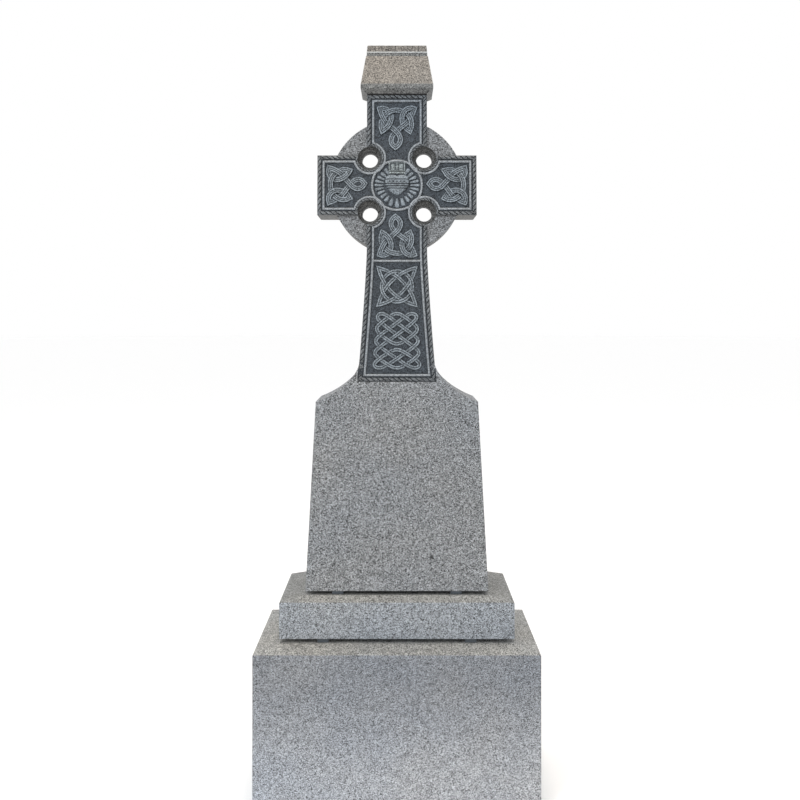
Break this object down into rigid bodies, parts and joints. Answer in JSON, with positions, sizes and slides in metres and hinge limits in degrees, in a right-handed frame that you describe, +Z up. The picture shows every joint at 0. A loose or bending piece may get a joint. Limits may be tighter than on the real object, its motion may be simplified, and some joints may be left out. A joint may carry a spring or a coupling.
{
  "type": "celtic cross headstone",
  "caption": "Granite grave monument: ringed Celtic cross with carved knotwork and a house-shaped cap, on a tapering die and stepped base stones.",
  "frame": {"origin": "middle of the underside of the lower base, on the ground", "axes": "+Z up along the shaft, -Y out of the carved front, +X to the right of a viewer facing the front"},
  "size_m": [0.9, 0.4, 2.4375],
  "materials": {
    "base_granite": "fine axed grey granite",
    "cross_granite": "fine axed grey granite, darker in the carving",
    "packer_lead": "dull lead"
  },
  "bodies": {
    "root": {"lower_base": "base_granite", "upper_base": "base_granite", "cross_stone": "cross_granite", "packer_lower_1": "packer_lead", "packer_lower_2": "packer_lead", "packer_lower_3": "packer_lead", "packer_lower_4": "packer_lead", "packer_upper_1": "packer_lead", "packer_upper_2": "packer_lead", "packer_upper_3": "packer_lead", "packer_upper_4": "packer_lead"}
  },
  "joints": []
}
